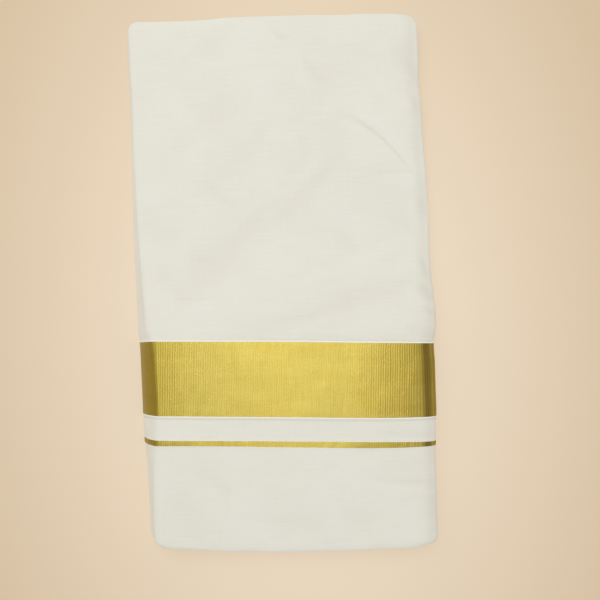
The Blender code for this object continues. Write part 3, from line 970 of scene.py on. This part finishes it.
def layer_strip(path, coarse, seed, setback, stripe=None):
    """A strip whose path is its middle. stripe gives the two woven lines of a gold stripe on it."""
    places = places_by_turn(path, coarse, TURN_STEP)
    place, distance, _, _ = reference_run(path)
    across = np.interp(places, place, distance)
    half = PILE / LAYERS * HALF_FILL
    low_wander = edge_wander(across, seed, 0.45 * MM)[:, None]
    high_wander = edge_wander(across, seed + 3.0, 0.45 * MM)[:, None]

    def low(x, at):
        if stripe:
            return woven_line(stripe[0], at) + low_wander
        return foot_line(x) + setback + low_wander + half

    def high(x, at):
        if stripe:
            return woven_line(stripe[1], at) + low_wander
        return head_line(x) - setback + high_wander - half / 2

    def from_ends(x, y, start):
        """0 nearer the end folds than start, and 1 well away from them."""
        inside = np.minimum(head_line(x) - y, y - foot_line(x))
        return ease((inside - start) / END_FADE)

    def pressed(x, y):
        """Height of the pile inside: away from the end folds the layers lie closer together."""
        return pile_height(x, y, PILE) - SLACK * from_ends(x, y, SLACK_FROM)

    rows = STRIPE_ROWS if stripe else HIDDEN_ROWS
    middle, share = strip_grid(path, places, low, high, rows, pressed, lambda x: x)
    x, y = middle[..., 0], middle[..., 1]
    closer = pressed(x, y) / pile_height(x, y, PILE)
    follow = 1.0 - from_ends(x, y, FOLLOW_FROM)
    middle[..., 2] += np.where(share > 0.5, relief(x, y) * share * follow, 0.0)
    middle[..., 2] += edge_wander(across, seed + 9.0, 0.08 * MM)[:, None] * (share > 0.05)
    normal = normals_of(middle)
    proud = STRIPE_PROUD if stripe else 0.0
    half = (layer_thickness(y) * closer * HALF_FILL + proud)[..., None]
    across = np.repeat(across[:, None], len(rows), axis=1)
    plain = np.zeros_like(across)
    whole = stripe is None
    return ring_strip(middle + normal * half, middle - normal * half, across, plain, EVERY_ROW,
                      whole, whole, plain)


hidden_strips = [layer_strip(path, 20 * MM, 2.0 + number, 0.9 * MM)
                 for number, path in enumerate(hidden_paths())]
keep_piece("hidden_layers", closed_cloth("folds_inside", hidden_strips, FOLDED_WHITE),
           "folded_cotton", ["hidden_layers"])


def straight_end(layer, inset):
    """A layer running out to its cut end, inset from the right edge."""
    return loose_end(layer_middle(layer), TUCK + MEET) + loose_end(layer_middle(layer), inset)


inner_path = loose_end(layer_middle(5), TUCK + MEET) + right_turn(0, 5, 6, True, **INNER_FOLD)
inner_path += loose_end(layer_middle(6), TUCK + MEET)[::-1]
ENDS = (
    # name, path, seed, setback
    ("inner_fold", inner_path, 7.3, 0.9 * MM),
    ("cut_end_lower", straight_end(7, 10.0 * MM), 12.0, 1.0 * MM),
    ("cut_end_upper", straight_end(8, 7.5 * MM), 13.0, 0.9 * MM),
)
for name, path, seed, setback in ENDS:
    strip = layer_strip(path, 6 * MM, seed, setback)
    keep_piece(name, closed_cloth(f"{name}_cloth", [strip], FOLDED_WHITE), "folded_cotton", [name])
    stripes = [layer_strip(path, 6 * MM, seed, setback, lines) for lines in ((0, 1), (2, 3))]
    keep_piece(f"{name}_zari", closed_cloth(f"{name}_zari", stripes, GOLD), "gold_zari")


# -------------------- what each sheet was cut to
def run_length(path):
    return float(reference_run(path)[1][-1])


ROUND = run_length(OUTER)
LEVELS = [foot_line(0.0)] + [woven_line(place, 0.0) for place in range(5)] + [head_line(0.0)]
zone_up = {name: float(high - low) for name, low, high in zip(ZONES, LEVELS, LEVELS[1:])}
sum(run_length(path) for path in hidden_paths())
for name, path, _, _ in ENDS:
    run_length(path)


# -------------------- floor, light and camera
FLOOR_MIDDLE = ((0.860, 0.728, 0.565), (0.845, 0.710, 0.550))     # two colours of its grain, inside a painted pool of light
FLOOR_AWAY = (0.69, 0.545, 0.378)             # the colour further from the packet, outside the painted pool of light
FLOOR_PAINT = (0.55, 0.55, 0.55)              # this share of the colour takes the light,
FLOOR_GLOW = 0.48                             # and this share glows, so that shadows stay pale
DAYLIGHT = (1.0, 0.985, 0.955)
ROOM_LIGHT = (1.0, 0.99, 0.97, 1.0)
ROOM_STRENGTH = 0.56
CAMERA_PLACE = (9.25 * MM, -52.1 * MM, PILE + 400.0 * MM)
CAMERA_TURN = -2.51                           # degrees
CAMERA_LENS, CAMERA_SENSOR = 28.54, 36.0
CAMERA_SHIFT = (0.0083, 0.0667)


def floor():
    """A plain surface, with a painted pool of light in an oval round the packet."""
    bpy.ops.mesh.primitive_plane_add(size=6.0, location=(0.0, 0.0, 0.0))
    plane = bpy.context.object
    plane.name = "floor"
    material = bpy.data.materials.new("floor")
    material.use_nodes = True
    tree = material.node_tree
    shader = tree.nodes["Principled BSDF"]
    place = add_node(tree, "ShaderNodeTexCoord").outputs["Object"]
    oval = add_node(tree, "ShaderNodeMapping",
                    values={"Location": (-0.019, 0.04, 0.0), "Scale": (1.25, 0.80, 1.0)},
                    links={"Vector": place})
    away = add_node(tree, "ShaderNodeVectorMath", {"operation": "LENGTH"},
                    links={0: oval.outputs["Vector"]})
    tone = ranged(tree, away.outputs["Value"], 0.15, 0.40)
    grain = add_node(tree, "ShaderNodeTexNoise", values={"Scale": 900.0, "Detail": 2.0},
                     links={"Vector": place}).outputs[0]
    middle = mixed(tree, grain, FLOOR_MIDDLE[0], FLOOR_MIDDLE[1])
    colour = mixed(tree, tone, middle, FLOOR_AWAY)
    paint = mixed(tree, 1.0, colour, FLOOR_PAINT, "MULTIPLY")
    tree.links.new(paint, shader.inputs["Base Color"])
    tree.links.new(colour, shader.inputs["Emission Color"])
    shader.inputs["Emission Strength"].default_value = FLOOR_GLOW
    shader.inputs["Roughness"].default_value = 0.9
    shader.inputs["Specular IOR Level"].default_value = 0.2
    plane.data.materials.append(material)
    return plane


def soft_light(name, place, width, length, power):
    """A rectangle of soft light, aimed at the packet."""
    data = bpy.data.lights.new(name, "AREA")
    data.shape = "RECTANGLE"
    data.size = width
    data.size_y = length
    data.energy = power
    data.color = DAYLIGHT
    light = bpy.data.objects.new(name, data)
    light.location = place
    light.rotation_mode = "QUATERNION"
    aim = Vector((0.0, 0.0, 0.0)) - Vector(place)
    light.rotation_quaternion = aim.to_track_quat("-Z", "Y")
    bpy.context.scene.collection.objects.link(light)


def camera():
    """Straight above the packet, a little off its middle, and turned a little."""
    data = bpy.data.cameras.new("camera")
    data.sensor_width = CAMERA_SENSOR
    data.lens = CAMERA_LENS
    data.shift_x, data.shift_y = CAMERA_SHIFT
    data.clip_start = 10.0 * MM
    cam = bpy.data.objects.new("camera", data)
    turn = Matrix.Rotation(math.radians(CAMERA_TURN), 4, "Z")
    cam.matrix_world = Matrix.Translation(CAMERA_PLACE) @ turn
    bpy.context.scene.collection.objects.link(cam)
    bpy.context.scene.camera = cam


floor()
world = bpy.data.worlds.new("soft_room")
world.use_nodes = True
background = world.node_tree.nodes["Background"]
background.inputs["Color"].default_value = ROOM_LIGHT
background.inputs["Strength"].default_value = ROOM_STRENGTH
bpy.context.scene.world = world
soft_light("overhead", (0.0, 0.25, 1.4), 0.75, 1.7, 7.6)
soft_light("window", (-0.75, 0.95, 1.4), 1.4, 1.4, 4.7)
camera()
bpy.context.scene.view_settings.view_transform = "Standard"
